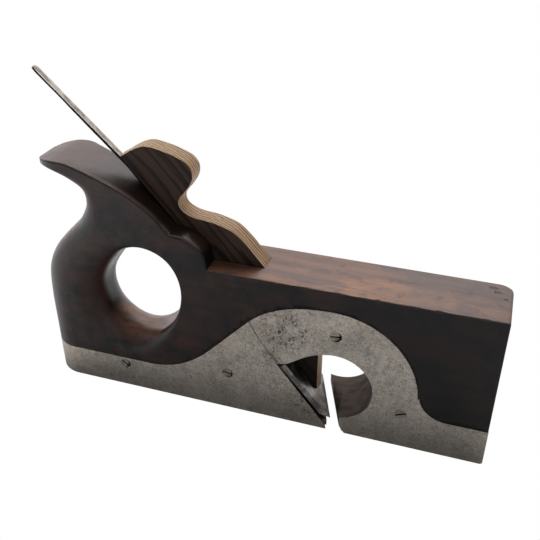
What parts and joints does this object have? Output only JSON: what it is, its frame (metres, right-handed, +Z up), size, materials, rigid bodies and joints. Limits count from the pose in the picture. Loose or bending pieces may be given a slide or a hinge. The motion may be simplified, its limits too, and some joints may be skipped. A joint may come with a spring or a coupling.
{
  "type": "skew rebate plane",
  "caption": "Skew rebate plane: ring-handled wooden stock with horn, screwed steel sole and cheeks, T-shaped skew iron and wooden wedge.",
  "frame": {"origin": "on the sole's centre line, 120.5 mm behind the toe", "axes": "+X towards the toe, +Y towards the left cheek, +Z up, away from the sole"},
  "size_m": [0.2375, 0.0318, 0.1696],
  "materials": {
    "stock_wood": "old oiled dark hardwood, worn and handled",
    "wedge_wood": "close dark-streaked hardwood, worn",
    "iron_steel": "old forged steel with brown patina, bright at the cutting end",
    "plate_steel": "filed and scratched steel with a grey patina",
    "sole_steel": "worn bright by use, scratched along its length",
    "screw_steel": "slotted heads filed flush, dark in the slot"
  },
  "bodies": {
    "plane": {"stock": "stock_wood", "right_rear_cheek": "plate_steel", "right_front_cheek": "plate_steel", "left_rear_cheek": "plate_steel", "left_front_cheek": "plate_steel", "rear_sole": "sole_steel", "front_sole": "sole_steel", "right_heel_screw": "screw_steel", "right_bed_screw": "screw_steel", "right_arch_screw": "screw_steel", "right_toe_screw": "screw_steel", "left_heel_screw": "screw_steel", "left_bed_screw": "screw_steel", "left_arch_screw": "screw_steel", "left_toe_screw": "screw_steel", "sole_screw_1": "screw_steel", "sole_screw_2": "screw_steel", "sole_screw_3": "screw_steel", "sole_screw_4": "screw_steel", "sole_screw_5": "screw_steel"},
    "wedge": {"wedge": "wedge_wood"},
    "iron": {"iron": "iron_steel"}
  },
  "joints": [
    {"name": "wedge_slide", "type": "slide", "parent": "plane", "child": "wedge", "axis": [-0.6428, 0, 0.766], "range_m": [0, 0.09]},
    {"name": "iron_slide", "type": "slide", "parent": "plane", "child": "iron", "axis": [-0.6428, 0, 0.766], "range_m": [-0.014, 0]}
  ]
}
